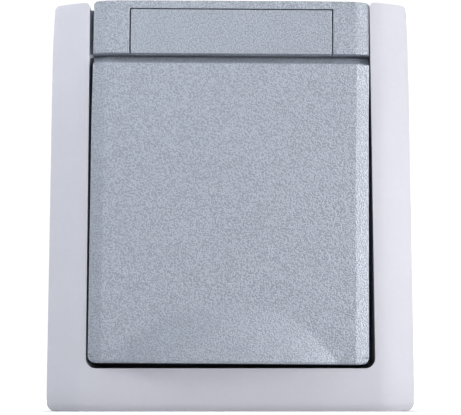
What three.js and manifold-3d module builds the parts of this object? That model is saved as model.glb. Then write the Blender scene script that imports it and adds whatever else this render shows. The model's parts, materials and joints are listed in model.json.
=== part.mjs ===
// Surface-mounted damp-room socket outlet with a spring-closed hinged lid.
// Millimetres. +X is to the right, +Z is up, and the front faces -Y. The origin is the centre of
// the back face, on the wall.
import * as THREE from 'three';
import { mergeVertices } from 'three/addons/utils/BufferGeometryUtils.js';
import Module from 'manifold-3d';

const wasm = await Module();
wasm.setup();

// ---------- driving dimensions ----------
const WIDTH = 75.6;
const HEIGHT = 86.5;
const TOP = HEIGHT / 2;
const BOTTOM = -HEIGHT / 2;
const FRONT = -57; // front plane of the cover's frame
const SEAM_Y = -24; // back edge of the cover
const WALL = 2;
const TOP_ARCH = 0.7; // how far the top edge drops from the middle to the sides
const OUTER_CORNER = 1.5;
const SIDE_BOW = 0.45; // how far each side draws in at the top
const BOW_START = 28; // height where it starts to draw in
const RAIL_SLOPE_WIDTH = 6; // outer part of each rail that leans back
const RAIL_SLOPE = 0.16;

const OPENING_HALF = 29.85; // half width of the lid opening between the rails
const OPENING_BOTTOM = -34.45;
const OPENING_CORNER = 1.6;
const DECK_Y = -46; // front of the deck under the lid
const DECK_BACK = DECK_Y + WALL;

const LID_HALF = 29.25;
const LID_BOTTOM = -33.5;
const LID_CORNER = 1.2;
const LID_FRONT = -57.3;
const LID_PANEL = 2.2;
const LID_RIM_Y = -48; // back edge of the lid's skirt, which lands on the gasket
const LID_SKIRT = 1.7;
const LID_BEVEL_WIDTH = 2.75;
const LID_BEVEL_SLOPE = 0.34;

const BLOCK_BOTTOM = 32; // underside of the hinge block, above the groove
const BLOCK_WALL = 1.8;
const BLOCK_RADIUS = 7.6; // back of the hinge block, round the hinge axis
const CHEEK = 3; // thickness of the block's ends, which turn on the pins
const GROOVE_Y = -54.25;
const GROOVE_LOWER = 30; // where the lid's face starts, below the groove

const HINGE_Y = -51.1;
const HINGE_Z = 37.5;
const TROUGH_RADIUS = 9; // room in the cover for the turning hinge block
const TROUGH_BACK = HINGE_Y + TROUGH_RADIUS;
const STOP_RADIUS = 8.1; // the stop ribs catch the block's front top edge when the lid is wide open
const PIN_RADIUS = 1;
const SPRING_X = -24.2;

const LIP_APEX = -21.4; // top of the finger lip's round outline
const LIP_RADIUS = 27.2;
const LIP_SLOPE = 0.252; // how fast the lip rises towards the lid's bottom edge

const LABEL_HALF = 21.2;
const LABEL_TOP = 41.55;
const LABEL_THICK = 1.3;
const LABEL_CLIP_X = 13.5;

const GAP = 0.3; // clearance round snapped-in and neighbouring pieces
const CLOSE_GAP = 0.05; // clearance round pressed-in pieces

const BASE_WALL = 3.6;
const BASE_FLOOR = 2.5;
const BASE_RIM_Y = SEAM_Y + GAP;
const TONGUE_Y = SEAM_Y - 3; // front edge of the base's tongue, inside the cover
const SEAL_GROOVE_DEPTH = 1;
const WALL_HOLE_Z = 31;
const ENTRY_Y = -12;
const ENTRY_RADIUS = 8;
const ENTRY_RECESS = 1.2;

const WELL_Z = -3; // centre of the plug well
const WELL_RADIUS = 19.5;
const WELL_FACE = -47.2;
const WELL_FLOOR = -29.7;
const WELL_FLOOR_BACK = -27.5;
const WELL_OUTER = 21;
const COLLAR_RADIUS = 21.3;
const FLANGE_RADIUS = 24;
const FLANGE_FRONT = -43.6;
const PIN_HOLE_X = 9.5; // half the 19 mm pitch of the plug's pins
const PIN_HOLE_RADIUS = 2.6;
const EARTH_SLOT_HALF = 3;

const COVER_SCREW_X = 22.6;
const COVER_SCREW_DZ = 24.2;
const COVER_SCREW_SEAT = DECK_Y + 0.9;
const TUBE_RADIUS = 3.4;

const CARRIER_FRONT = -25.8;
const CARRIER_BACK = -12.2;
const TERMINAL_X = 16;
const TERMINAL_HALF = 3.5;
const TERMINAL_FRONT = -22;
const EARTH_TERMINAL_Z = WELL_Z - 11.5;
const WIRE_Y = -15; // the wires enter the terminals in this plane
const FIXING_X = 25; // the two screws that hold the contact carrier in the base

// ---------- materials ----------
const plastic = (color, roughness) => new THREE.MeshStandardMaterial({ color, roughness, metalness: 0 });
const metal = (color, roughness) => new THREE.MeshStandardMaterial({ color, roughness, metalness: 1 });
const LIGHT_PLASTIC = plastic(0xd2d4dd, 0.45);
const GREY_PLASTIC = plastic(0xa5abbb, 0.6);
const INSERT_PLASTIC = plastic(0xc6c9d0, 0.4);
const DARK_PLASTIC = plastic(0x2a2b2e, 0.55);
const RUBBER = plastic(0x1c1c1e, 0.9);
const STEEL = metal(0xb9bcc0, 0.35);
const BRASS = metal(0xc9a65a, 0.3);

// ---------- geometry helpers ----------
const AXIS_X = new THREE.Vector3(1, 0, 0);
const AXIS_Y = new THREE.Vector3(0, 1, 0);
const AXIS_Z = new THREE.Vector3(0, 0, 1);
const FAR = 100; // reach of a cutting tool that runs out of the part

// A closed three.js geometry as a manifold-3d solid.
function toSolid(geometry) {
  const bare = new THREE.BufferGeometry();
  bare.setAttribute('position', geometry.getAttribute('position'));
  bare.setIndex(geometry.index);
  const merged = mergeVertices(bare, 1e-4);
  const index = merged.index.array;
  const triangles = [];
  for (let i = 0; i < index.length; i += 3) {
    const [a, b, c] = [index[i], index[i + 1], index[i + 2]];
    if (a !== b && b !== c && c !== a) triangles.push(a, b, c);
  }
  return new wasm.Manifold(new wasm.Mesh({
    numProp: 3,
    vertProperties: merged.attributes.position.array,
    triVerts: new Uint32Array(triangles),
  }));
}

// A solid as a three.js geometry.
function toGeometry(solid) {
  const { numVert, numProp, vertProperties, triVerts } = solid.getMesh();
  const positions = new Float32Array(numVert * 3);
  for (let i = 0; i < numVert; i += 1) {
    positions.set(vertProperties.subarray(i * numProp, i * numProp + 3), i * 3);
  }
  const geometry = new THREE.BufferGeometry();
  geometry.setAttribute('position', new THREE.BufferAttribute(positions, 3));
  geometry.setIndex(new THREE.BufferAttribute(triVerts, 1));
  geometry.computeVertexNormals();
  return geometry;
}

const union = (first, ...rest) => rest.reduce((sum, solid) => sum.add(solid), first);
const cut = (solid, ...tools) => tools.reduce((left, tool) => left.subtract(tool), solid);

// The left (s = -1) and right (s = 1) copies of something.
const pair = (make) => [-1, 1].map(make);

function box(x0, x1, y0, y1, z0, z1) {
  const geometry = new THREE.BoxGeometry(x1 - x0, y1 - y0, z1 - z0);
  geometry.translate((x0 + x1) / 2, (y0 + y1) / 2, (z0 + z1) / 2);
  return toSolid(geometry);
}

// A box from x0 to x1 on the right (s = 1), or its mirror image on the left (s = -1).
const sideBox = (s, x0, x1, ...rest) => box(Math.min(s * x0, s * x1), Math.max(s * x0, s * x1), ...rest);

// A front-view outline (x, z), extruded from yBack forwards to yFront. A bevel rounds its front edge.
function slab(shape, yBack, yFront, { segments = 6, bevel = 0 } = {}) {
  const overrun = 2 * bevel;
  const geometry = new THREE.ExtrudeGeometry(shape, {
    depth: yBack - yFront,
    curveSegments: segments,
    bevelEnabled: bevel > 0,
    bevelThickness: bevel,
    bevelSize: bevel,
    bevelOffset: -bevel,
    bevelSegments: 3,
  });
  geometry.applyMatrix4(new THREE.Matrix4().makeBasis(AXIS_X, AXIS_Z, AXIS_Y.clone().negate()));
  geometry.translate(0, yBack + bevel, 0);
  const solid = toSolid(geometry);
  return bevel > 0 ? solid.subtract(box(-FAR, FAR, yBack, yBack + overrun + 1, -FAR, FAR)) : solid;
}

// A side-view outline (y, z), extruded from x0 to x1.
function bar(shape, x0, x1) {
  const geometry = new THREE.ExtrudeGeometry(shape, { depth: x1 - x0, curveSegments: 8, bevelEnabled: false });
  geometry.applyMatrix4(new THREE.Matrix4().makeBasis(AXIS_Y, AXIS_Z, AXIS_X));
  geometry.translate(x0, 0, 0);
  return toSolid(geometry);
}

// Cylinders along each axis. endRadius is the radius at y1.
function rodY(radius, x, z, y0, y1, { segments = 24, endRadius = radius } = {}) {
  const geometry = new THREE.CylinderGeometry(endRadius, radius, y1 - y0, segments);
  geometry.translate(x, (y0 + y1) / 2, z);
  return toSolid(geometry);
}

function rodX(radius, y, z, x0, x1, segments = 16) {
  const geometry = new THREE.CylinderGeometry(radius, radius, x1 - x0, segments);
  geometry.rotateZ(-Math.PI / 2);
  geometry.translate((x0 + x1) / 2, y, z);
  return toSolid(geometry);
}

const sideRodX = (s, radius, y, z, x0, x1) => rodX(radius, y, z, Math.min(s * x0, s * x1), Math.max(s * x0, s * x1));

function rodZ(radius, x, y, z0, z1, segments = 16) {
  const geometry = new THREE.CylinderGeometry(radius, radius, z1 - z0, segments);
  geometry.rotateX(Math.PI / 2);
  geometry.translate(x, y, (z0 + z1) / 2);
  return toSolid(geometry);
}

const outline = (points) => new THREE.Shape(points.map(([a, b]) => new THREE.Vector2(a, b)));

function roundedRect(x0, x1, z0, z1, radius) {
  const shape = new THREE.Shape();
  shape.moveTo(x0 + radius, z0);
  shape.absarc(x1 - radius, z0 + radius, radius, -Math.PI / 2, 0);
  shape.absarc(x1 - radius, z1 - radius, radius, 0, Math.PI / 2);
  shape.absarc(x0 + radius, z1 - radius, radius, Math.PI / 2, Math.PI);
  shape.absarc(x0 + radius, z0 + radius, radius, Math.PI, 1.5 * Math.PI);
  return shape;
}

// A flat ring whose outer edge is a rounded rectangle.
function rectRing(half, z0, z1, width, yBack, yFront) {
  const outer = slab(roundedRect(-half, half, z0, z1, width), yBack, yFront, { segments: 4 });
  return outer.subtract(box(-half + width, half - width, yFront - 1, yBack + 1, z0 + width, z1 - width));
}

// A strip of constant thickness along a polyline, as an outline.
function ribbon(points, thickness) {
  const path = points.map(([a, b]) => new THREE.Vector2(a, b));
  const left = [];
  const right = [];
  path.forEach((point, i) => {
    const arriving = point.clone().sub(path[Math.max(i - 1, 0)]).normalize();
    const leaving = path[Math.min(i + 1, path.length - 1)].clone().sub(point).normalize();
    const along = arriving.clone().add(leaving).normalize();
    const reach = thickness / 2 / Math.max(along.dot(leaving), along.dot(arriving));
    const across = new THREE.Vector2(-along.y, along.x).multiplyScalar(reach);
    left.push(point.clone().add(across));
    right.unshift(point.clone().sub(across));
  });
  return new THREE.Shape([...left, ...right]);
}

// A wedge over the outer part of the front face, for a face that leans back towards its side.
function sideWedge(s, front, inner, outer, slope) {
  const drop = (outer - inner) * slope;
  const above = front - 5;
  const shape = outline([[s * inner, front], [s * outer, front + drop], [s * outer, above], [s * inner, above]]);
  const geometry = new THREE.ExtrudeGeometry(shape, { depth: 2 * FAR, bevelEnabled: false });
  geometry.translate(0, 0, -FAR);
  return toSolid(geometry);
}

// The places of the four cover screws.
const SCREW_PLACES = pair((sx) => pair((sz) => ({
  x: sx * COVER_SCREW_X,
  z: WELL_Z + sz * COVER_SCREW_DZ,
  name: `${sz > 0 ? 'upper' : 'lower'}_${sx < 0 ? 'left' : 'right'}`,
}))).flat();

const parts = new THREE.Group();

function addPart(name, solid, material) {
  const mesh = new THREE.Mesh(toGeometry(solid), material);
  mesh.name = name;
  parts.add(mesh);
}

// ---------- housing ----------

// Front view of the housing: a top edge that falls towards its ends, and sides that draw in
// towards the top.
function housingOutline() {
  const x = WIDTH / 2;
  const topX = x - SIDE_BOW;
  const side = TOP - TOP_ARCH;
  const r = OUTER_CORNER;
  const topPull = 0.9 * (topX - r);
  const topPullZ = TOP + TOP_ARCH / 3;
  const shape = new THREE.Shape();
  shape.moveTo(-x + r, BOTTOM);
  shape.absarc(x - r, BOTTOM + r, r, -Math.PI / 2, 0);
  shape.lineTo(x, BOW_START);
  shape.quadraticCurveTo(x, (BOW_START + side) / 2, topX, side - r);
  shape.absarc(topX - r, side - r, r, 0, Math.PI / 2);
  shape.bezierCurveTo(topPull, topPullZ, -topPull, topPullZ, -topX + r, side);
  shape.absarc(-topX + r, side - r, r, Math.PI / 2, Math.PI);
  shape.quadraticCurveTo(-x, (BOW_START + side) / 2, -x, BOW_START);
  shape.absarc(-x + r, BOTTOM + r, r, Math.PI, 1.5 * Math.PI);
  return shape;
}

// The box on the wall: shallow tray with a tongue that reaches into the cover.
function backBox() {
  const innerX = WIDTH / 2 - BASE_WALL;
  const innerTop = TOP - TOP_ARCH - BASE_WALL;
  const innerBottom = BOTTOM + BASE_WALL;
  const tongueX = WIDTH / 2 - WALL - GAP;
  const tongueTop = TOP - TOP_ARCH - WALL - GAP;
  const tongueBottom = BOTTOM + WALL + GAP;
  const tray = slab(housingOutline(), 0, BASE_RIM_Y);
  const tongue = slab(roundedRect(-tongueX, tongueX, tongueBottom, tongueTop, 1), BASE_RIM_Y + 1, TONGUE_Y);
  const cavity = slab(roundedRect(-innerX, innerX, innerBottom, innerTop, 1.5), -BASE_FLOOR, TONGUE_Y - 5);
  const screwPosts = SCREW_PLACES.map(({ x, z }) => rodY(TUBE_RADIUS, x, z, SEAM_Y - GAP, -BASE_FLOOR + 0.5));
  const carrierPosts = pair((s) => rodY(3, s * FIXING_X, WELL_Z, CARRIER_BACK + GAP, -BASE_FLOOR + 0.5));
  const entry = (s) => union(
    rodZ(ENTRY_RADIUS, 0, ENTRY_Y, s * 40 - 6, s * 40 + 6, 32),
    s > 0
      ? rodZ(ENTRY_RADIUS + 2, 0, ENTRY_Y, TOP - ENTRY_RECESS, FAR, 32)
      : rodZ(ENTRY_RADIUS + 2, 0, ENTRY_Y, -FAR, BOTTOM + ENTRY_RECESS, 32),
  );
  return cut(
    union(cut(tray.add(tongue), cavity), ...screwPosts, ...carrierPosts),
    sealRing(SEAL_GROOVE_DEPTH, 0.1, 1),
    ...SCREW_PLACES.map(({ x, z }) => rodY(1.5, x, z, -30, -8, { segments: 12 })),
    ...pair((s) => rodY(1.3, s * FIXING_X, WELL_Z, -14, -6, { segments: 12 })),
    ...pair((s) => rodY(2.4, 0, s * WALL_HOLE_Z, -5, 1, { segments: 20 })),
    ...pair(entry),
    rodY(7, 0, -14, -0.8, 1, { segments: 32 }),
  );
}

// The ring in the seam between box and cover. `depth` reaches into the box's rim.
function sealRing(depth, margin, overrun) {
  const half = WIDTH / 2 - 0.7 + margin;
  return rectRing(half, BOTTOM + 0.7 - margin, TOP - TOP_ARCH - 0.7 + margin, 1.2 + 2 * margin,
    BASE_RIM_Y + depth, SEAM_Y + CLOSE_GAP - overrun);
}

// The cover: frame round the lid, deck under the lid, and the trough that the hinge block turns in.
function frontCover() {
  const insideX = WIDTH / 2 - WALL;
  const insideTop = TOP - TOP_ARCH - WALL;
  const insideBottom = BOTTOM + WALL;
  const troughFloor = HINGE_Z - TROUGH_RADIUS - WALL;
  const railInside = OPENING_HALF + 1.8;
  const railFront = FRONT + RAIL_SLOPE * RAIL_SLOPE_WIDTH + WALL;
  const pocket = slab(
    roundedRect(-OPENING_HALF, OPENING_HALF, OPENING_BOTTOM, FAR, OPENING_CORNER), DECK_Y, -FAR);
  const shell = cut(
    slab(housingOutline(), SEAM_Y, FRONT, { bevel: 1 }),
    ...pair((s) => sideWedge(s, FRONT, WIDTH / 2 - RAIL_SLOPE_WIDTH, WIDTH / 2 + 1, RAIL_SLOPE)),
    box(-insideX, insideX, DECK_BACK, 0, insideBottom, troughFloor),
    box(-insideX, insideX, TROUGH_BACK + WALL, 0, troughFloor - 1, insideTop),
    box(-insideX, insideX, railFront, DECK_BACK + 1, insideBottom, OPENING_BOTTOM - WALL),
    ...pair((s) => sideBox(s, railInside, insideX, railFront, DECK_BACK + 1, insideBottom, HINGE_Z - 5)),
    pocket,
    rodX(TROUGH_RADIUS, HINGE_Y, HINGE_Z, -OPENING_HALF, OPENING_HALF, 48),
    box(-OPENING_HALF, OPENING_HALF, HINGE_Y, TROUGH_BACK, HINGE_Z, FAR),
  );
  const tubes = SCREW_PLACES.map(({ x, z }) => rodY(TUBE_RADIUS, x, z, DECK_BACK - 0.5, SEAM_Y - 2 * GAP));
  const stopRibs = pair((s) => sideBox(s, 8, 16, HINGE_Y + STOP_RADIUS, TROUGH_BACK + 0.5, HINGE_Z - 1, HINGE_Z + 2.6));
  return cut(
    union(shell, ...tubes, ...stopRibs),
    rodY(COLLAR_RADIUS + GAP, 0, WELL_Z, -50, -40, { segments: 64 }),
    lidSeal(GAP, 1),
    ...SCREW_PLACES.map(({ x, z }) => rodY(2, x, z, -50, -20, { segments: 16 })),
    ...SCREW_PLACES.map(({ x, z }) => rodY(3.3, x, z, -50, COVER_SCREW_SEAT)),
    ...pair((s) => sideRodX(s, PIN_RADIUS + CLOSE_GAP, HINGE_Y, HINGE_Z, OPENING_HALF - 1, 34)),
    box(SPRING_X - 0.7, SPRING_X + 0.7, -46.2, -44, 29.2, 31.5),
  );
}

// The rubber ring in the deck that the lid's skirt lands on. With a margin it is the groove for it.
function lidSeal(margin, overrun) {
  const front = overrun > 0 ? DECK_Y - overrun : LID_RIM_Y + 0.1;
  return rectRing(LID_HALF + 0.15 + margin / 2, OPENING_BOTTOM + 0.35 - margin / 2, 27.3 + margin / 2, 2.3 + margin,
    DECK_Y + 0.7 + margin / 3, front);
}

// ---------- lid ----------

// Side view of the lid: the panel, the groove, and the hollow block whose back turns in the trough.
function lidSection() {
  const BACK_END = -20; // degrees, lower end of the block's round back
  const STEPS = 8;
  const inner = BLOCK_RADIUS - 1.5;
  const innerTop = TOP - BLOCK_WALL;
  const panelBack = LID_FRONT + LID_PANEL;
  const blockBack = LID_FRONT + 2.8;
  const angleAt = (z, radius) => THREE.MathUtils.radToDeg(Math.asin((z - HINGE_Z) / radius));
  const arc = (radius, from, to) => Array.from({ length: STEPS + 1 }, (_, i) => {
    const angle = THREE.MathUtils.degToRad(from + (to - from) * i / STEPS);
    return [HINGE_Y + radius * Math.cos(angle), HINGE_Z + radius * Math.sin(angle)];
  });
  return outline([
    [LID_FRONT, LID_BOTTOM - 1],
    [LID_FRONT, GROOVE_LOWER],
    [GROOVE_Y, BLOCK_BOTTOM - 0.2],
    [GROOVE_Y, BLOCK_BOTTOM],
    [LID_FRONT, BLOCK_BOTTOM],
    [LID_FRONT, TOP],
    ...arc(BLOCK_RADIUS, angleAt(TOP, BLOCK_RADIUS), BACK_END),
    ...arc(inner, BACK_END, angleAt(innerTop, inner)),
    [blockBack, innerTop],
    [blockBack, BLOCK_BOTTOM + BLOCK_WALL],
    [GROOVE_Y + 1.6, BLOCK_BOTTOM + BLOCK_WALL],
    [GROOVE_Y + 1.6, GROOVE_LOWER + 0.6],
    [panelBack, GROOVE_LOWER - 1],
    [panelBack, LID_BOTTOM - 1],
  ]);
}

// Side view of the solid webs of the hinge block that the pins run in.
function webSection() {
  return outline([
    [LID_FRONT + 1, TOP - 0.5],
    [LID_FRONT + 1, BLOCK_BOTTOM + 0.5],
    [GROOVE_Y + 0.5, BLOCK_BOTTOM + 0.5],
    [GROOVE_Y + 0.5, GROOVE_LOWER],
    [HINGE_Y + 3, HINGE_Z - 6],
    [HINGE_Y + 6.9, HINGE_Z - 2.4],
    [HINGE_Y + 6.9, HINGE_Z + 2.4],
    [HINGE_Y + 4.6, TOP - 0.5],
  ]);
}

// The finger lip: a round outline that rises towards the lid's bottom edge.
function fingerLip() {
  const rise = LIP_SLOPE * (LIP_APEX - LID_BOTTOM);
  const centre = LIP_APEX - LIP_RADIUS;
  const reach = THREE.MathUtils.degToRad(62);
  const shape = new THREE.Shape();
  shape.absarc(0, centre, LIP_RADIUS, Math.PI / 2 - reach, Math.PI / 2 + reach);
  shape.lineTo(-LIP_RADIUS * Math.sin(reach), centre - 5);
  shape.lineTo(LIP_RADIUS * Math.sin(reach), centre - 5);
  const geometry = new THREE.ExtrudeGeometry(shape, { depth: rise + 1, curveSegments: 32, bevelEnabled: false });
  const rising = new THREE.Vector3(0, -1, -1 / LIP_SLOPE);
  geometry.applyMatrix4(new THREE.Matrix4().makeBasis(AXIS_X, AXIS_Z, rising));
  geometry.translate(0, LID_FRONT + 0.5, 0.5 / LIP_SLOPE);
  const keep = box(-LID_HALF, LID_HALF, LID_FRONT - rise - 1, LID_FRONT + 0.5, LID_BOTTOM, LIP_APEX + 3);
  return toSolid(geometry).intersect(keep);
}

function lid() {
  const frontView = slab(roundedRect(-LID_HALF, LID_HALF, LID_BOTTOM, FAR, LID_CORNER), -40, -62);
  const sealTop = 27; // upper edge of the skirt's cross rib
  const skirtFront = LID_FRONT + 1;
  const skirt = [
    ...pair((s) => sideBox(s, LID_HALF - LID_SKIRT, LID_HALF, skirtFront, LID_RIM_Y, LID_BOTTOM, HINGE_Z - 6)),
    box(-LID_HALF, LID_HALF, skirtFront, LID_RIM_Y, LID_BOTTOM, LID_BOTTOM + LID_SKIRT),
    box(-LID_HALF, LID_HALF, skirtFront, LID_RIM_Y, sealTop - LID_SKIRT, sealTop),
  ];
  const webs = [
    bar(webSection(), -LID_HALF, CHEEK - LID_HALF),
    bar(webSection(), -18.4, -16.6),
    bar(webSection(), LID_HALF - CHEEK, LID_HALF),
  ];
  const body = union(bar(lidSection(), -LID_HALF, LID_HALF), ...webs, ...skirt, fingerLip());
  const labelSeat = box(-LABEL_HALF - GAP, LABEL_HALF + GAP, LID_FRONT - 1, LID_FRONT + LABEL_THICK + GAP,
    BLOCK_BOTTOM - 1, LABEL_TOP + GAP);
  const clipWindows = pair((s) => box(
    s * LABEL_CLIP_X - 1.8, s * LABEL_CLIP_X + 1.8, LID_FRONT, LID_FRONT + 4, 36, 38));
  const springSlot = box(SPRING_X - 0.9, SPRING_X + 0.9, HINGE_Y + 1.5, HINGE_Y + 12, 28, FAR);
  return cut(
    body.intersect(frontView),
    ...pair((s) => sideWedge(s, LID_FRONT, LID_HALF - LID_BEVEL_WIDTH, LID_HALF + 1, LID_BEVEL_SLOPE)),
    labelSeat,
    ...clipWindows,
    sideRodX(1, PIN_RADIUS + 0.1, HINGE_Y, HINGE_Z, 24, FAR),
    sideRodX(-1, PIN_RADIUS + 0.1, HINGE_Y, HINGE_Z, 17.2, FAR),
    springSlot,
  );
}

// Blank label plate, with two clips that hook behind the block's front wall.
function labelPlate() {
  const back = LID_FRONT + LABEL_THICK;
  const clips = pair((s) => union(
    box(s * LABEL_CLIP_X - 1.5, s * LABEL_CLIP_X + 1.5, back - 0.3, back + 2.3, 36.3, 37.5),
    box(s * LABEL_CLIP_X - 1.5, s * LABEL_CLIP_X + 1.5, back + 1.8, back + 2.3, 37.3, 38.5),
  ));
  return union(box(-LABEL_HALF, LABEL_HALF, LID_FRONT, back, BLOCK_BOTTOM + CLOSE_GAP, LABEL_TOP), ...clips);
}

const hingePin = (x0, x1) => rodX(PIN_RADIUS, HINGE_Y, HINGE_Z, x0, x1);

// Torsion spring round the left hinge pin. Its fixed leg hooks into the cover's trough, and its
// moving leg presses on the inside of the block.
class SpringCurve extends THREE.Curve {
  getPoint(t) {
    const COIL_RADIUS = 2.1;
    const TURNS = 4.25;
    const PITCH = 1.05;
    const FIXED_LEG_ANGLE = THREE.MathUtils.degToRad(-50);
    const FIXED_LEG_END = TROUGH_RADIUS + 0.7;
    const COIL_START = 0.1;
    const COIL_END = 0.92;
    if (t < COIL_START) {
      const radius = FIXED_LEG_END + (COIL_RADIUS - FIXED_LEG_END) * (t / COIL_START);
      return new THREE.Vector3(
        SPRING_X, HINGE_Y + radius * Math.cos(FIXED_LEG_ANGLE), HINGE_Z + radius * Math.sin(FIXED_LEG_ANGLE));
    }
    const along = Math.min((t - COIL_START) / (COIL_END - COIL_START), 1);
    const angle = FIXED_LEG_ANGLE + along * TURNS * 2 * Math.PI;
    const coil = new THREE.Vector3(
      SPRING_X + along * TURNS * PITCH, HINGE_Y + COIL_RADIUS * Math.cos(angle), HINGE_Z + COIL_RADIUS * Math.sin(angle));
    const movingLegEnd = new THREE.Vector3(coil.x, HINGE_Y - 2.6, HINGE_Z + 3.2);
    return coil.lerp(movingLegEnd, Math.max(t - COIL_END, 0) / (1 - COIL_END));
  }
}

function lidSpring() {
  const wireSection = new THREE.Shape();
  wireSection.absarc(0, 0, 0.35, 0, 2 * Math.PI);
  return toSolid(new THREE.ExtrudeGeometry(wireSection, {
    steps: 90,
    curveSegments: 3,
    bevelEnabled: false,
    extrudePath: new SpringCurve(),
  }));
}

// ---------- plug well and contacts ----------

// The insert that takes the plug: round well, collar in the deck's hole, and flange behind the deck.
function plugWell() {
  const profile = [
    [0, WELL_FLOOR],
    [WELL_RADIUS, WELL_FLOOR],
    [WELL_RADIUS, WELL_FACE + 0.5],
    [WELL_RADIUS + 0.5, WELL_FACE],
    [COLLAR_RADIUS - 0.4, WELL_FACE],
    [COLLAR_RADIUS, WELL_FACE + 0.4],
    [COLLAR_RADIUS, FLANGE_FRONT],
    [FLANGE_RADIUS, FLANGE_FRONT],
    [FLANGE_RADIUS, FLANGE_FRONT + 1.4],
    [WELL_OUTER, FLANGE_FRONT + 1.4],
    [WELL_OUTER, WELL_FLOOR_BACK],
    [0, WELL_FLOOR_BACK],
  ];
  const geometry = new THREE.LatheGeometry(profile.map(([r, y]) => new THREE.Vector2(r, y)), 64);
  geometry.translate(0, 0, WELL_Z);
  const guideRibs = pair((s) => sideBox(s, 17.6, 20.2, -44, WELL_FLOOR + 0.5, WELL_Z - 2.4, WELL_Z + 2.4));
  const earthSlots = pair((s) => box(-EARTH_SLOT_HALF, EARTH_SLOT_HALF, -45, -26,
    WELL_Z + Math.min(s * 17.9, s * 22), WELL_Z + Math.max(s * 17.9, s * 22)));
  return cut(
    union(toSolid(geometry), ...guideRibs),
    ...pair((s) => rodY(PIN_HOLE_RADIUS, s * PIN_HOLE_X, WELL_Z, -31, -26)),
    ...pair((s) => rodY(3.8, s * PIN_HOLE_X, WELL_Z, WELL_FLOOR - 0.2, WELL_FLOOR + 0.8,
      { endRadius: PIN_HOLE_RADIUS })),
    rodY(1.7, 0, WELL_Z, -31, -26, { segments: 16 }),
    rodY(3.1, 0, WELL_Z, -31, WELL_FLOOR + 1.2),
    ...earthSlots,
  );
}

function wellSeal() {
  const ring = rodY(23.6, 0, WELL_Z, DECK_BACK + CLOSE_GAP, FLANGE_FRONT - CLOSE_GAP, { segments: 48 });
  return cut(ring, rodY(COLLAR_RADIUS + 0.4, 0, WELL_Z, -45, -43, { segments: 48 }));
}

// Holder for the contacts, screwed into the back box.
function contactCarrier() {
  const body = slab(roundedRect(-21, 21, WELL_Z - 16.5, WELL_Z + 16.5, 3), CARRIER_BACK, CARRIER_FRONT);
  const ears = box(-28.4, 28.4, CARRIER_BACK - 2.2, CARRIER_BACK, WELL_Z - 3.6, WELL_Z + 3.6);
  const spigot = rodY(2.75, 0, WELL_Z, WELL_FLOOR_BACK + GAP, CARRIER_FRONT + 1);
  const room = TERMINAL_HALF + GAP;
  const pocketBack = CARRIER_BACK - 1;
  return cut(
    union(body, ears, spigot),
    ...pair((s) => union(
      rodY(3.6, s * PIN_HOLE_X, WELL_Z, -30, pocketBack),
      box(s * TERMINAL_X - room, s * TERMINAL_X + room, -30, pocketBack, WELL_Z - room, WELL_Z + room),
    )),
    ...pair((s) => rodZ(1.7, s * TERMINAL_X, WIRE_Y - 0.6, WELL_Z - 20, WELL_Z + 20)),
    ...pair((s) => rodY(1.7, s * FIXING_X, WELL_Z, -20, -10, { segments: 16 })),
    box(-room, room, -30, -10, EARTH_TERMINAL_Z - room, EARTH_TERMINAL_Z + room),
    rodX(1.7, WIRE_Y, EARTH_TERMINAL_Z, -25, 25),
    rodY(1.7, 0, WELL_Z, -30, -14, { segments: 16 }),
  );
}

// A split tulip contact behind one pin hole, with its terminal block outboard of it.
function tulipContact(s) {
  const pinX = s * PIN_HOLE_X;
  const terminalX = s * TERMINAL_X;
  const back = CARRIER_BACK - 1 - GAP;
  return cut(
    union(
      rodY(3.3, pinX, WELL_Z, -25.6, back),
      box(terminalX - TERMINAL_HALF, terminalX + TERMINAL_HALF, TERMINAL_FRONT, back,
        WELL_Z - TERMINAL_HALF, WELL_Z + TERMINAL_HALF),
    ),
    rodY(2.45, pinX, WELL_Z, -26, back - 0.8),
    box(pinX - 0.3, pinX + 0.3, -26, -17, WELL_Z - 4, WELL_Z + 4),
    rodY(1.75, terminalX, WELL_Z, TERMINAL_FRONT - 1, -17.8, { segments: 16 }),
    rodZ(1.4, terminalX, WIRE_Y - 0.6, WELL_Z - 5, WELL_Z + 5),
  );
}

// Sheet-metal strap whose two ends stand as sprung clips in the well's slots, with its terminal.
function earthStrap() {
  const backY = -10.8;
  const end = (s) => [
    [-44, WELL_Z + s * 20.1],
    [-42.3, WELL_Z + s * 19.3],
    [-37.5, WELL_Z + s * 17.6],
    [-32, WELL_Z + s * 19.1],
    [backY - 1.2, WELL_Z + s * 19.1],
    [backY, WELL_Z + s * 18],
  ];
  const terminal = box(-TERMINAL_HALF, TERMINAL_HALF, TERMINAL_FRONT, backY + 0.2,
    EARTH_TERMINAL_Z - TERMINAL_HALF, EARTH_TERMINAL_Z + TERMINAL_HALF);
  return cut(
    bar(ribbon([...end(1), ...end(-1).reverse()], 0.7), -2.4, 2.4).add(terminal),
    rodY(1.75, 0, EARTH_TERMINAL_Z, TERMINAL_FRONT - 1, -17, { segments: 16 }),
    rodX(1.4, WIRE_Y, EARTH_TERMINAL_Z, -5, 5),
  );
}

// Shutter with two wings over the pin holes, turning on the carrier's spigot.
function shutter() {
  const front = WELL_FLOOR_BACK + GAP;
  const back = CARRIER_FRONT - GAP;
  return cut(
    union(
      rodY(5, 0, WELL_Z, front, back),
      box(-13, 13, front, back, WELL_Z - 2.75, WELL_Z + 2.75),
    ),
    rodY(2.85, 0, WELL_Z, -30, -25),
  );
}

// Leaf spring that holds the shutter over the pin holes.
function shutterSpring() {
  const leaf = [
    [-17.5, WELL_Z - 9],
    [-15.5, WELL_Z - 8.6],
    [-12.5, WELL_Z - 6],
    [-11.6, WELL_Z - 3.3],
  ];
  return slab(ribbon(leaf, 0.35), CARRIER_FRONT - GAP, WELL_FLOOR_BACK + GAP);
}

// ---------- fasteners and grommets ----------

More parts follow.
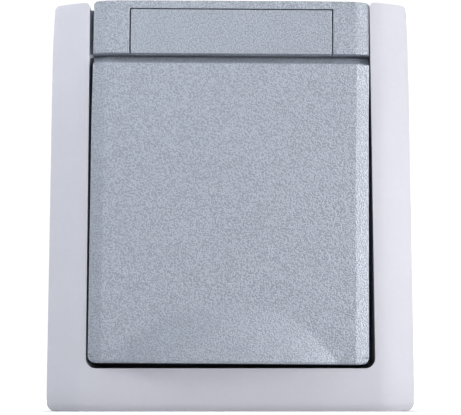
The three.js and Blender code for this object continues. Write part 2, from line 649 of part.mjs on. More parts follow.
// A cross-slotted screw along Y, its head to the front.
function screw(x, z, { head, headHeight, headY, shank, tipY }) {
  const seat = headY + headHeight;
  const slotDepth = headHeight * 0.45;
  const slotHalf = 0.4;
  return cut(
    union(
      rodY(head, x, z, headY, seat, { segments: 20 }),
      rodY(shank, x, z, seat - 0.2, tipY, { segments: 12 }),
    ),
    box(x - head * 0.65, x + head * 0.65, headY - 1, headY + slotDepth, z - slotHalf, z + slotHalf),
    box(x - slotHalf, x + slotHalf, headY - 1, headY + slotDepth, z - head * 0.65, z + head * 0.65),
  );
}

// Rubber grommet in the top (s = 1) or bottom (s = -1) wall of the back box.
function cableGrommet(s) {
  const seat = TOP - ENTRY_RECESS;
  const inside = TOP - TOP_ARCH / 2 - BASE_WALL;
  const neck = ENTRY_RADIUS - 0.1;
  const profile = [
    [0, seat - 2.6],
    [neck - 1.5, seat - 2.6],
    [neck + 1.2, inside - 1.6],
    [neck + 1.2, inside - 0.8],
    [neck, inside - 0.8],
    [neck, seat + CLOSE_GAP],
    [ENTRY_RADIUS + 1.7, seat + CLOSE_GAP],
    [ENTRY_RADIUS + 1.7, seat + 0.9],
    [5.5, seat + 0.9],
    [4.5, seat - 1.6],
    [0, seat - 1.6],
  ];
  const geometry = new THREE.LatheGeometry(profile.map(([r, h]) => new THREE.Vector2(r, h)), 32);
  geometry.rotateX(s * Math.PI / 2);
  geometry.translate(0, ENTRY_Y, 0);
  return toSolid(geometry);
}

// ---------- assembly ----------
addPart('back_box', backBox(), LIGHT_PLASTIC);
addPart('front_cover', frontCover(), LIGHT_PLASTIC);
addPart('housing_seal', sealRing(SEAL_GROOVE_DEPTH - 0.1, 0, 0), RUBBER);
addPart('lid', lid(), GREY_PLASTIC);
addPart('label_plate', labelPlate(), GREY_PLASTIC);
addPart('hinge_pin_left', hingePin(-33.6, -17.4), STEEL);
addPart('hinge_pin_right', hingePin(24.5, 33.6), STEEL);
addPart('lid_spring', lidSpring(), STEEL);
addPart('lid_seal', lidSeal(0, 0), RUBBER);
addPart('plug_well', plugWell(), INSERT_PLASTIC);
addPart('well_seal', wellSeal(), RUBBER);
addPart('contact_carrier', contactCarrier(), DARK_PLASTIC);
addPart('contact_left', tulipContact(-1), BRASS);
addPart('contact_right', tulipContact(1), BRASS);
addPart('earth_strap', earthStrap(), STEEL);
addPart('shutter', shutter(), DARK_PLASTIC);
addPart('shutter_spring', shutterSpring(), STEEL);

const TERMINAL_SCREW = { head: 2.3, headHeight: 1.8, headY: TERMINAL_FRONT - 2.3, shank: 1.5, tipY: -18.2 };
addPart('terminal_screw_left', screw(-TERMINAL_X, WELL_Z, TERMINAL_SCREW), STEEL);
addPart('terminal_screw_right', screw(TERMINAL_X, WELL_Z, TERMINAL_SCREW), STEEL);
addPart('terminal_screw_earth', screw(0, EARTH_TERMINAL_Z, TERMINAL_SCREW), STEEL);

const WELL_SCREW = { head: 2.8, headHeight: 1.1, headY: WELL_FLOOR, shank: 1.35, tipY: -17 };
addPart('well_screw', screw(0, WELL_Z, WELL_SCREW), STEEL);

const CARRIER_SCREW = { head: 2.6, headHeight: 1.6, headY: CARRIER_BACK - 4.1, shank: 1.15, tipY: -7 };
addPart('carrier_screw_left', screw(-FIXING_X, WELL_Z, CARRIER_SCREW), STEEL);
addPart('carrier_screw_right', screw(FIXING_X, WELL_Z, CARRIER_SCREW), STEEL);

const COVER_SCREW = { head: 3, headHeight: 1.9, headY: COVER_SCREW_SEAT - 2.1, shank: 1.35, tipY: -10.5 };
for (const { x, z, name } of SCREW_PLACES) {
  addPart(`cover_screw_${name}`, screw(x, z, COVER_SCREW), STEEL);
}

addPart('grommet_top', cableGrommet(1), RUBBER);
addPart('grommet_bottom', cableGrommet(-1), RUBBER);

export default parts;
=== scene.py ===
import json
import math

import bmesh
import bpy
import numpy as np
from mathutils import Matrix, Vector


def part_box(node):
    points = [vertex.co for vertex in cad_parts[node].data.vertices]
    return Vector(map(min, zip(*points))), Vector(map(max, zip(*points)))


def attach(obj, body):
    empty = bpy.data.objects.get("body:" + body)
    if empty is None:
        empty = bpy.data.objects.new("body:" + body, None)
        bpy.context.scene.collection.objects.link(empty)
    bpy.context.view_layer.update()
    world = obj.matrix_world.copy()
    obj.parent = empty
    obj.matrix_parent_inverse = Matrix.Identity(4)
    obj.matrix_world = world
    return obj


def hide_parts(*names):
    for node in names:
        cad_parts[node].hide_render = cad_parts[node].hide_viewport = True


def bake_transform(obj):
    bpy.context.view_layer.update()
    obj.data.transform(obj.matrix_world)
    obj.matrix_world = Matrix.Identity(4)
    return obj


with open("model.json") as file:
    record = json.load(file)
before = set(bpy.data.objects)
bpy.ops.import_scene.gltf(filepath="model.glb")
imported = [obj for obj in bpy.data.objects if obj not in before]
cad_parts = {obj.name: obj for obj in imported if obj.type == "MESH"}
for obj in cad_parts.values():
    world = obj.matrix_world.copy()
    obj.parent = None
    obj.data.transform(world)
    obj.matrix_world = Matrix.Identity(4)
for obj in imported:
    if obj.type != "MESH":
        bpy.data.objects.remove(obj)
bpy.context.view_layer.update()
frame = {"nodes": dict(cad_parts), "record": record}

# Lengths in this file are millimetres, and the scene is in metres.
MM = 0.001


def box_mm(node):
    low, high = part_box(node)
    return low / MM, high / MM


COVER_LOW, COVER_HIGH = box_mm("front_cover")
LID_LOW, LID_HIGH = box_mm("lid")
LABEL_LOW, LABEL_HIGH = box_mm("label_plate")
JOINTS = {joint["name"]: joint for joint in frame["record"]["behaviour"]["joints"]}
HINGE = Vector(JOINTS["lid_hinge"]["pos_m"]) / MM

HOUSING_BODY = "housing"
LID_BODY = "lid_group"
SHUTTER_BODY = "shutter_group"

# Frame of the cover
HALF_WIDTH = COVER_HIGH.x
TOP = COVER_HIGH.z
BOTTOM = COVER_LOW.z
COVER_FRONT = COVER_LOW.y
RAIL_WIDTH = 8.0
OPENING_HALF = HALF_WIDTH - RAIL_WIDTH
OPENING_BOTTOM = BOTTOM + 8.78
OPENING_CORNER = 2.1
OPENING_SHIFT = 0.02
OPENING_LEAN = 0.0023  # sideways per millimetre of height
TOP_ARCH = 0.7
SIDE_BOW = 0.45
BOW_START = 28.0
RIM_ROUND = 0.85
OUTER_CORNER = 1.9
TOP_CORNER = 1.15
RAIL_TOP_CORNER = 0.95
RAIL_SLOPE = 0.16
RAIL_SLOPE_WIDTH = 6.0
INSIDE_DEPTH = 10.6  # how far behind the front the closed body of the cover starts
CORE_SCALE = 0.975
EAR_WIDTH = 0.55

# Lid
LID_FACE = LABEL_LOW.y
PANEL_PROUD = 0.8
BLOCK_PROUD = 0.3
BLOCK_BEVEL_SLOPE = 0.3
LID_RIM_ROUND = 0.16
LID_BEVEL_WIDTH = 2.75
LID_BEVEL_SLOPE = 0.42
GROOVE_DEPTH = 3.07
BLOCK_DROP = 0.28
BLOCK_BOTTOM = LABEL_LOW.z - BLOCK_DROP
GROOVE_LOWER = BLOCK_BOTTOM - 2.32
LIP_APEX = LID_LOW.z + 12.1
LIP_RADIUS = 27.2
LIP_SLOPE = 0.34
LIP_CROWN = 0.0095
LIP_CHAMFER = 0.5
LIP_CHAMFER_SLOPE = 1.1
LID_TILT = 0.42  # degrees
LID_TILT_CENTRE = 4.9
LID_TAPER = 0.00018
LID_SHIFT = -0.15
SEAT_GAP = 0.3
SEAT_DEPTH = 1.62
LABEL_THICKNESS = 1.3


# ---------- mesh helpers ----------
def make_object(name, bm):
    """A scene object from a bmesh in millimetres."""
    bmesh.ops.recalc_face_normals(bm, faces=bm.faces)
    bmesh.ops.scale(bm, vec=Vector((MM, MM, MM)), verts=bm.verts)
    mesh = bpy.data.meshes.new(name)
    bm.to_mesh(mesh)
    bm.free()
    obj = bpy.data.objects.new(name, mesh)
    bpy.context.scene.collection.objects.link(obj)
    return obj


def boolean(obj, tool, operation):
    """obj joined with, cut by or limited to the tool, which is used up."""
    modifier = obj.modifiers.new("boolean", "BOOLEAN")
    modifier.object = tool
    modifier.operation = operation
    modifier.solver = "MANIFOLD"
    graph = bpy.context.evaluated_depsgraph_get()
    mesh = bpy.data.meshes.new_from_object(obj.evaluated_get(graph))
    obj.modifiers.clear()
    old = obj.data
    obj.data = mesh
    bpy.data.meshes.remove(old)
    bpy.data.objects.remove(tool)
    return obj


def cad_mesh(node):
    """A welded copy of a CAD node's mesh in millimetres."""
    bm = bmesh.new()
    bm.from_mesh(frame["nodes"][node].data)
    bmesh.ops.scale(bm, vec=Vector((1 / MM,) * 3), verts=bm.verts)
    bmesh.ops.remove_doubles(bm, verts=bm.verts, dist=0.002)
    return bm


def cad_copy(node, name, grow=None):
    """A copy of a CAD node as an object.

    `grow` is (half width, bottom, top, reach): what lies beyond these limits moves outwards by the reach."""
    bm = cad_mesh(node)
    if grow:
        half, low, high, reach = grow
        for v in bm.verts:
            if abs(v.co.x) > half:
                v.co.x += math.copysign(reach, v.co.x)
            if v.co.z > high:
                v.co.z += reach
            if v.co.z < low:
                v.co.z -= reach
    return make_object(name, bm)


def block(name, low, high):
    """A plain cutting block."""
    bm = bmesh.new()
    bmesh.ops.create_cube(bm, size=1.0)
    for v in bm.verts:
        v.co = Vector(low[i] if v.co[i] < 0 else high[i] for i in range(3))
    return make_object(name, bm)


def smooth(obj, angle=32.0):
    """Smooth shading, with sharp edges above the angle and flat faces kept flat."""
    mesh = obj.data
    mesh.shade_smooth()
    mesh.set_sharp_from_angle(angle=math.radians(angle))
    modifier = obj.modifiers.new("weighted normals", "WEIGHTED_NORMAL")
    modifier.keep_sharp = True
    modifier.weight = 60


def soft_ramp(t, softness):
    """max(t, 0) with a rounded bend."""
    return 0.5 * (t + np.sqrt(t * t + softness * softness))


def smoothstep(t):
    t = np.clip(t, 0.0, 1.0)
    return t * t * (3.0 - 2.0 * t)


def fillet(distance, radius):
    """Depth of a quarter-round edge at a distance in from the edge."""
    d = np.clip(distance, 0.0, radius)
    return radius - np.sqrt(np.maximum(radius * radius - (radius - d) ** 2, 0.0))


def graded(*spans):
    """Sorted positions from spans of (start, end, step)."""
    values = []
    for start, end, step in spans:
        count = max(1, round((end - start) / step))
        values.extend(np.linspace(start, end, count + 1))
    return sorted(set(np.round(values, 4)))


def tilted(x, z):
    """A place on the lid's front, turned by the small angle that the lid hangs at and widened upwards."""
    sin, cos = math.sin(math.radians(LID_TILT)), math.cos(math.radians(LID_TILT))
    rise = z - LID_TILT_CENTRE
    x = x * (1.0 + LID_TAPER * rise)
    shift = LID_SHIFT * smoothstep((BLOCK_BOTTOM - z) / 15.0)
    return x * cos + rise * sin + shift, LID_TILT_CENTRE + rise * cos - x * sin


def moulded_tile(name, half, low, high, radii, rim, x_lines, z_lines, insets, surface, back):
    """A closed solid whose outline is a rounded rectangle and whose front is surface(x, z, inset).

    A grid fills the middle, and loops at falling insets carry the surface out over the rounded rim."""
    bm = bmesh.new()
    corner_steps = 8

    def corner(sign_x, is_top, inset, start):
        radius = radii[1] if is_top else radii[0]
        points = []
        for step in range(corner_steps + 1):
            angle = math.radians(start + 90.0 * step / corner_steps)
            if radius > inset:
                x = sign_x * (half - radius) + (radius - inset) * math.cos(angle)
                z = (high - radius if is_top else low + radius) + (radius - inset) * math.sin(angle)
            else:
                x = sign_x * (half - inset)
                z = high - inset if is_top else low + inset
            points.append((x, z))
        return points

    def loop(inset):
        points = [(x, low + inset) for x in x_lines]
        points += corner(1, False, inset, -90)
        points += [(half - inset, z) for z in z_lines]
        points += corner(1, True, inset, 0)
        points += [(x, high - inset) for x in reversed(x_lines)]
        points += corner(-1, True, inset, 90)
        points += [(inset - half, z) for z in reversed(z_lines)]
        points += corner(-1, False, inset, 180)
        return points

    def add(points, inset, y=None):
        xs = np.array([p[0] for p in points])
        zs = np.array([p[1] for p in points])
        xs, ys, zs = surface(xs, zs, np.full(len(xs), inset))
        if y is not None:
            ys = np.full(len(xs), y)
        return [bm.verts.new(co) for co in zip(xs, ys, zs)]

    grid = [add([(x, z) for x in x_lines], rim) for z in z_lines]
    for row, above in zip(grid, grid[1:]):
        for i in range(len(x_lines) - 1):
            bm.faces.new((row[i], row[i + 1], above[i + 1], above[i]))
    rings = [add(loop(inset), inset) for inset in insets]
    rings.append(add(loop(0.0), 0.0, back))
    count = len(rings[0])
    for ring, outer in zip(rings, rings[1:]):
        for i in range(count):
            j = (i + 1) % count
            bm.faces.new((ring[i], ring[j], outer[j], outer[i]))
    bm.faces.new(rings[-1])
    bmesh.ops.remove_doubles(bm, verts=bm.verts, dist=0.0008)
    bmesh.ops.dissolve_degenerate(bm, dist=0.0002, edges=bm.edges)
    return make_object(name, bm)


def prism(outline, front, back):
    """A front-view outline (x, z) between two depths."""
    bm = bmesh.new()
    near = [bm.verts.new((x, front, z)) for x, z in outline]
    far = [bm.verts.new((x, back, z)) for x, z in outline]
    bm.faces.new(near)
    bm.faces.new(far)
    for i in range(len(outline)):
        j = (i + 1) % len(outline)
        bm.faces.new((near[i], near[j], far[j], far[i]))
    return bm


# ---------- materials ----------
class Nodes:
    """Short ways to add and link shader nodes."""

    def __init__(self, tree):
        self.tree = tree

    def add(self, kind, inputs=None, **settings):
        node = self.tree.nodes.new(kind)
        for key, value in settings.items():
            setattr(node, key, value)
        for key, value in (inputs or {}).items():
            if isinstance(value, bpy.types.NodeSocket):
                self.tree.links.new(value, node.inputs[key])
            else:
                node.inputs[key].default_value = value
        return node

    def ramp(self, factor, stops):
        node = self.add("ShaderNodeValToRGB", {0: factor})
        elements = node.color_ramp.elements
        elements[0].position, elements[0].color = stops[0]
        elements[1].position, elements[1].color = stops[-1]
        for position, color in stops[1:-1]:
            elements.new(position).color = color
        return node.outputs["Color"]

    def maths(self, operation, a, b=0.0, c=0.0):
        return self.add("ShaderNodeMath", {0: a, 1: b, 2: c}, operation=operation).outputs[0]

    def mix(self, factor, a, b):
        node = self.add("ShaderNodeMix", data_type="RGBA")
        for key, value in ((0, factor), (6, a), (7, b)):
            if isinstance(value, bpy.types.NodeSocket):
                self.tree.links.new(value, node.inputs[key])
            else:
                node.inputs[key].default_value = value
        return node.outputs[2]

    def noise(self, coordinates, size, detail=2.0, roughness=0.5):
        """Noise whose features are about `size` millimetres."""
        return self.add("ShaderNodeTexNoise", {
            "Vector": coordinates, "Scale": 1.0 / (size * MM), "Detail": detail,
            "Roughness": roughness}).outputs["Fac"]

    def vector(self, operation, a, b=(0, 0, 0)):
        return self.add("ShaderNodeVectorMath", {0: a, 1: b}, operation=operation).outputs[0]

    def bump(self, height, strength, depth):
        """A bumped normal; the depth is in millimetres."""
        return self.add("ShaderNodeBump", {
            "Height": height, "Strength": strength, "Distance": depth * MM}).outputs[0]


def srgb(red, green, blue):
    """An 8-bit display colour as linear values."""
    def channel(value):
        value /= 255.0
        return value / 12.92 if value <= 0.04045 else ((value + 0.055) / 1.055) ** 2.4
    return channel(red), channel(green), channel(blue), 1.0


def shade(color, factor):
    return tuple(min(1.0, c * factor) for c in color[:3]) + (1.0,)


def new_material(name):
    material = bpy.data.materials.new(name)
    material.use_nodes = True
    nodes = Nodes(material.node_tree)
    shader = material.node_tree.nodes["Principled BSDF"]
    coordinates = nodes.add("ShaderNodeTexCoord").outputs["Object"]
    return material, nodes, shader, coordinates


def connect(nodes, shader, **sockets):
    for key, value in sockets.items():
        target = shader.inputs[key.replace("_", " ")]
        if isinstance(value, bpy.types.NodeSocket):
            nodes.tree.links.new(value, target)
        else:
            target.default_value = value


def edge_wear_and_highlight_mask(nodes, radius):
    """1 along convex and concave edges, 0 on open faces. The materials lighten their colour with it: a
    painted highlight along edges, which also stands for a little wear.
    """
    rounded = nodes.add("ShaderNodeBevel", {"Radius": radius * MM}, samples=4).outputs[0]
    normal = nodes.add("ShaderNodeNewGeometry").outputs["Normal"]
    dot = nodes.add("ShaderNodeVectorMath", {0: rounded, 1: normal}, operation="DOT_PRODUCT")
    bent = nodes.maths("SUBTRACT", 1.0, dot.outputs["Value"])
    return nodes.maths("SMOOTH_MIN", nodes.maths("MULTIPLY", bent, 6.0), 1.0, 0.1)


def housing_plastic(name, color):
    """Smooth satin moulding: fine matt texture, faint cloudiness, and edges lightened as rubbed wear and a
    painted highlight.
    """
    material, nodes, shader, at = new_material(name)
    cloud = nodes.noise(at, 22.0, 3.0, 0.55)
    speck = nodes.noise(at, 0.9, 2.0, 0.6)
    tone = nodes.ramp(cloud, [(0.35, shade(color, 0.975)), (0.65, shade(color, 1.02))])
    tone = nodes.mix(0.18, tone, nodes.ramp(speck, [(0.4, shade(color, 0.95)), (0.62, shade(color, 1.03))]))
    # edges lightened: rubbed wear and a painted highlight
    tone = nodes.mix(nodes.maths("MULTIPLY", edge_wear_and_highlight_mask(nodes, 0.5), 0.25), tone, shade(color, 1.1))
    rough = nodes.maths("MULTIPLY_ADD", speck, 0.1, 0.36)
    fine = nodes.noise(at, 0.16, 2.0, 0.6)
    wave = nodes.noise(at, 9.0, 1.0)
    height = nodes.maths("MULTIPLY_ADD", wave, 0.9, nodes.maths("MULTIPLY", fine, 0.05))
    bump = nodes.bump(height, 0.35, 0.05)
    connect(nodes, shader, Base_Color=tone, Roughness=rough, Normal=bump, IOR=1.48)
    return material


def grained_plastic(name, color, grain=0.26, depth=0.12):
    """Spark-eroded grain: short winding ridges, a little worn on top, with painted shade in the valleys, a
    painted highlight on the ridges and a painted highlight along the edges, which also stands for a little
    wear. Grain and depth are in millimetres.
    """
    material, nodes, shader, at = new_material(name)
    warp = nodes.add("ShaderNodeTexNoise", {"Vector": at, "Scale": 1.0 / (grain * 2.2 * MM), "Detail": 1.0})
    offset = nodes.vector("SUBTRACT", warp.outputs["Color"], (0.5, 0.5, 0.5))
    shift = nodes.add("ShaderNodeVectorMath", {0: offset, "Scale": grain * 0.9 * MM}, operation="SCALE")
    warped = nodes.vector("ADD", at, shift.outputs[0])
    cells = nodes.noise(warped, grain, 0.0)
    ridge = nodes.add("ShaderNodeMapRange", {"Value": cells, "From Min": 0.3, "From Max": 0.7},
                      interpolation_type="SMOOTHSTEP").outputs[0]
    fine = nodes.noise(at, grain * 0.35, 2.0, 0.5)
    height = nodes.maths("MULTIPLY_ADD", fine, 0.25, ridge)
    cloud = nodes.noise(at, 18.0, 3.0, 0.5)
    tone = nodes.ramp(cloud, [(0.35, shade(color, 0.97)), (0.65, shade(color, 1.03))])
    # the grain's valleys get painted shade and its ridges a painted highlight
    tone = nodes.mix(0.85, tone, nodes.ramp(ridge, [(0.0, shade(color, 0.76)), (0.9, shade(color, 1.18))]))
    # edges lightened: a painted highlight, which also stands for a little wear
    tone = nodes.mix(nodes.maths("MULTIPLY", edge_wear_and_highlight_mask(nodes, 0.22), 0.85), tone, shade(color, 1.6))
    rough = nodes.maths("MULTIPLY_ADD", ridge, -0.08, 0.5)
    bump = nodes.bump(height, 1.0, depth)
    connect(nodes, shader, Base_Color=tone, Roughness=rough, Normal=bump, IOR=1.58)
    return material


def plain_plastic(name, color, roughness):
    """Smooth insert plastic with faint moulding marks and a painted highlight along its edges."""
    material, nodes, shader, at = new_material(name)
    cloud = nodes.noise(at, 6.0, 4.0, 0.6)
    tone = nodes.ramp(cloud, [(0.3, shade(color, 0.93)), (0.7, shade(color, 1.05))])
    # edges lightened: a painted highlight
    tone = nodes.mix(nodes.maths("MULTIPLY", edge_wear_and_highlight_mask(nodes, 0.3), 0.3), tone, shade(color, 1.25))
    rough = nodes.maths("MULTIPLY_ADD", cloud, 0.16, roughness)
    height = nodes.noise(at, 0.3, 2.0, 0.6)
    bump = nodes.bump(height, 0.3, 0.02)
    connect(nodes, shader, Base_Color=tone, Roughness=rough, Normal=bump)
    return material


def rubber(name, color):
    """Soft matt rubber with a little dust on it."""
    material, nodes, shader, at = new_material(name)
    dust = nodes.noise(at, 1.6, 4.0, 0.65)
    tone = nodes.ramp(dust, [(0.4, color), (0.75, shade(color, 2.2))])
    height = nodes.noise(at, 0.35, 3.0, 0.7)
    bump = nodes.bump(height, 0.6, 0.05)
    rough = nodes.maths("MULTIPLY_ADD", dust, 0.2, 0.7)
    connect(nodes, shader, Base_Color=tone, Roughness=rough, Normal=bump)
    return material


def brushed_metal(name, color):
    """Plated metal with fine drawing lines and small dull spots."""
    material, nodes, shader, at = new_material(name)
    stretched = nodes.add("ShaderNodeMapping", {"Vector": at, "Scale": (1.0, 12.0, 1.0)}).outputs[0]
    lines = nodes.noise(stretched, 0.5, 3.0, 0.7)
    spots = nodes.noise(at, 1.4, 4.0, 0.6)
    tone = nodes.ramp(spots, [(0.35, shade(color, 0.8)), (0.65, shade(color, 1.08))])
    rough = nodes.maths("MULTIPLY_ADD", lines, 0.22, 0.2)
    bump = nodes.bump(lines, 0.3, 0.02)
    connect(nodes, shader, Base_Color=tone, Roughness=rough, Metallic=1.0, Normal=bump)
    return material


LIGHT = srgb(200, 200, 209)
GREY = srgb(161, 168, 180)
MATERIALS = {
    "light_plastic": housing_plastic("light_plastic_satin", LIGHT),
    "grey_plastic": grained_plastic("grey_plastic_grained", GREY),
    "insert_plastic": plain_plastic("insert_plastic_smooth", srgb(205, 207, 212), 0.3),
    "dark_plastic": plain_plastic("dark_plastic_matt", srgb(44, 45, 48), 0.5),
    "rubber": rubber("rubber_black", srgb(26, 26, 28)),
    "steel": brushed_metal("steel_plated", (0.66, 0.67, 0.68, 1.0)),
    "brass": brushed_metal("brass_plain", (0.78, 0.58, 0.26, 1.0)),
}
LABEL_PLASTIC = grained_plastic("label_plastic_grained", shade(GREY, 0.96), grain=0.3, depth=0.08)


def dress(obj, slot, body, *nodes, material=None):
    """Gives a finished piece its material and its body, and hides the CAD nodes it stands for."""
    obj.data.materials.clear()
    obj.data.materials.append(material or MATERIALS[slot])
    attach(obj, body)
    if nodes:
        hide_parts(*nodes)
    return obj


# ---------- cover ----------
def top_drop(x):
    """How far the top edge has fallen at a distance from the middle."""
    return TOP_ARCH * (np.abs(x) / (HALF_WIDTH - 1.5)) ** 6


def top_edge(x):
    return TOP - top_drop(x)


def side_points():
    """The right side from the bottom corner to the top corner, drawn in towards the top."""
    end = top_edge(HALF_WIDTH - SIDE_BOW)
    heights = np.linspace(BOW_START, end, 9)
    sides = [(HALF_WIDTH - SIDE_BOW * ((z - BOW_START) / (end - BOW_START)) ** 2, z) for z in heights]
    return [(HALF_WIDTH, BOTTOM)] + sides


def round_corners(points, radii, steps=10):
    """A closed outline with arcs in place of the points that have a radius."""
    rounded = []
    for i, (point, radius) in enumerate(zip(points, radii)):
        if radius == 0:
            rounded.append(point)
            continue
        corner = Vector(point)
        before = (Vector(points[i - 1]) - corner).normalized()
        after = (Vector(points[(i + 1) % len(points)]) - corner).normalized()
        half_angle = before.angle(after) / 2
        centre = corner + (before + after).normalized() * radius / math.sin(half_angle)
        start = corner + before * radius / math.tan(half_angle) - centre
        turn = math.atan2(before.x * after.y - before.y * after.x, before.dot(after))
        sweep = math.copysign(math.pi - 2 * half_angle, -turn)
        for step in range(steps + 1):
            angle = sweep * step / steps
            sin, cos = math.sin(angle), math.cos(angle)
            rounded.append((centre.x + start.x * cos - start.y * sin,
                            centre.y + start.x * sin + start.y * cos))
    return rounded


def mirrored(right_half):
    """A closed outline from its right half, which runs upwards from the centre line."""
    return right_half + [(-x, z) for x, z in reversed(right_half) if abs(x) > 1e-6]


def rounded_outline(half, inner=()):
    """A closed outline from its right half, with the housing's corners and the given inner ones rounded."""
    corners = {half[0]: OUTER_CORNER, side_points()[-1]: TOP_CORNER, **dict(inner)}
    points = mirrored(half)
    return round_corners(points, [corners.get((abs(x), z), 0) for x, z in points])


def housing_outline():
    """Whole front view of the housing."""
    half = side_points()
    half += [(x, top_edge(x)) for x in np.linspace(half[-1][0], 0, 19)[1:]]
    return rounded_outline(half)


def frame_outline():
    """Front view of the cover's frame, open at the top, with the opening turned a little."""
    half = side_points()
    half += [(x, top_edge(x)) for x in np.linspace(half[-1][0], OPENING_HALF, 6)[1:]]
    rail_top = half[-1]
    opening = (OPENING_HALF, OPENING_BOTTOM)
    outline = rounded_outline(half + [opening], {rail_top: RAIL_TOP_CORNER, opening: OPENING_CORNER}.items())
    turned = []
    for x, z in outline:
        inner = smoothstep((OPENING_HALF + 3.0 - abs(x)) / 3.0) if z > OPENING_BOTTOM - 0.5 else 0.0
        turned.append((x - inner * (OPENING_SHIFT + OPENING_LEAN * z), z))
    return turned


def bisect(bm, axis, positions):
    """Extra edges where a plane across the axis cuts the mesh."""
    for position in positions:
        point, normal = Vector((0, 0, 0)), Vector((0, 0, 0))
        point[axis], normal[axis] = position, 1.0
        bmesh.ops.bisect_plane(bm, geom=bm.verts[:] + bm.edges[:] + bm.faces[:], dist=1e-4,
                               plane_co=point, plane_no=normal)


def cover_limits():
    """The CAD cover, roomier where the visual skin is shaped on its own: front, outside, pocket walls."""
    limits = cad_copy("front_cover", "cover_cad")
    front = COVER_FRONT - 1
    boolean(limits, block("front", (-45, front, BOTTOM - 1), (45, COVER_FRONT + 2, TOP + 1)), "UNION")
    cuff = block("cuff", (-45, front, BOTTOM - 1), (45, COVER_HIGH.y + 1, TOP + 1))
    core = [(CORE_SCALE * x, CORE_SCALE * z) for x, z in housing_outline()]
    boolean(cuff, make_object("core", prism(core, front - 1, COVER_HIGH.y + 2)), "DIFFERENCE")
    trough = block("trough", (-OPENING_HALF, front - 1, HINGE.z - 2), (OPENING_HALF, HINGE.y + 9, TOP + 2))
    boolean(cuff, trough, "DIFFERENCE")
    boolean(limits, cuff, "UNION")
    for side in (-1, 1):
        for name, inwards, high_z in (("wall", 0.3, TOP + 1), ("foot", 2.5, OPENING_BOTTOM + 2.5)):
            low, high = sorted((side * (OPENING_HALF - inwards), side * (OPENING_HALF + 0.5)))
            tool = block(name, (low, front, OPENING_BOTTOM - 1), (high, COVER_FRONT + 10.5, high_z))
            boolean(limits, tool, "UNION")
    return limits


def build_cover():
    """Front cover: rounded frame, closed body behind it and the small ear at the left of the hinge."""
    bm = prism(frame_outline(), COVER_FRONT, COVER_HIGH.y)
    front_edges = [e for e in bm.edges if all(abs(v.co.y - COVER_FRONT) < 1e-4 for v in e.verts)]
    bmesh.ops.bevel(bm, geom=front_edges, offset=RIM_ROUND, segments=6, profile=0.5, affect="EDGES",
                    clamp_overlap=False)
    bisect(bm, 0, [s * x for s in (-1, 1) for x in np.arange(30.6, 37.3, 0.6)])
    bisect(bm, 2, [BOTTOM + h for h in (0.35, 0.7, 1.1, 1.5, 2.0, 2.8, 3.8, 5.0, 6.2, 7.4)])
    bisect(bm, 2, [-20.0, 0.0, 20.0, 30.0, 36.0, 40.0])
    for v in bm.verts:
        if v.co.y < COVER_FRONT + 2.0:
            rise = v.co.z - BOTTOM
            lean = RAIL_SLOPE * soft_ramp(abs(v.co.x) - (HALF_WIDTH - RAIL_SLOPE_WIDTH), 1.4)
            lean += 0.01 * soft_ramp(6.5 - rise, 2.0) + 0.5 * soft_ramp(1.2 - rise, 0.4)
            v.co.y += lean
    shape = make_object("cover", bm)
    inside = prism(housing_outline(), COVER_FRONT + INSIDE_DEPTH, COVER_HIGH.y)
    boolean(shape, make_object("cover_inside", inside), "UNION")
    boolean(shape, cover_limits(), "INTERSECT")
    ear = block("ear", (-OPENING_HALF - 0.6, COVER_FRONT + 2.4, HINGE.z - 6),
                (EAR_WIDTH - OPENING_HALF, HINGE.y + 8.5, TOP - 1.3))
    boolean(shape, ear, "UNION")
    smooth(shape)
    return dress(shape, "light_plastic", HOUSING_BODY, "front_cover")


# ---------- lid ----------
LID_HALF = LID_HIGH.x - 0.1
LID_RIM = 1.2
BACK_OF_TILE = HINGE.y + 9.0
SEAT_HALF = LABEL_HIGH.x + SEAT_GAP
SEAT_TOP = LABEL_HIGH.z + SEAT_GAP - BLOCK_DROP
SEAT_EDGE_LINES = (-0.03, -0.001, 0.01, 0.03, 0.06)
GROOVE_PROFILE = [  # height above the block's underside, depth
    (GROOVE_LOWER - BLOCK_BOTTOM - 0.04, 0.0),
    (GROOVE_LOWER - BLOCK_BOTTOM + 0.01, 0.03),
    (GROOVE_LOWER - BLOCK_BOTTOM + 0.06, 0.11),
    (GROOVE_LOWER - BLOCK_BOTTOM + 0.5, 0.66),
    (GROOVE_LOWER - BLOCK_BOTTOM + 1.1, 1.2),
    (-0.52, 1.68),
    (-0.46, 1.8),
    (-0.44, GROOVE_DEPTH - 0.1),
    (-0.02, GROOVE_DEPTH),
    (0.0, GROOVE_DEPTH - 0.06),
    (0.01, 0.16),
    (0.03, 0.09),
    (0.08, 0.03),
    (0.16, 0.0),
]


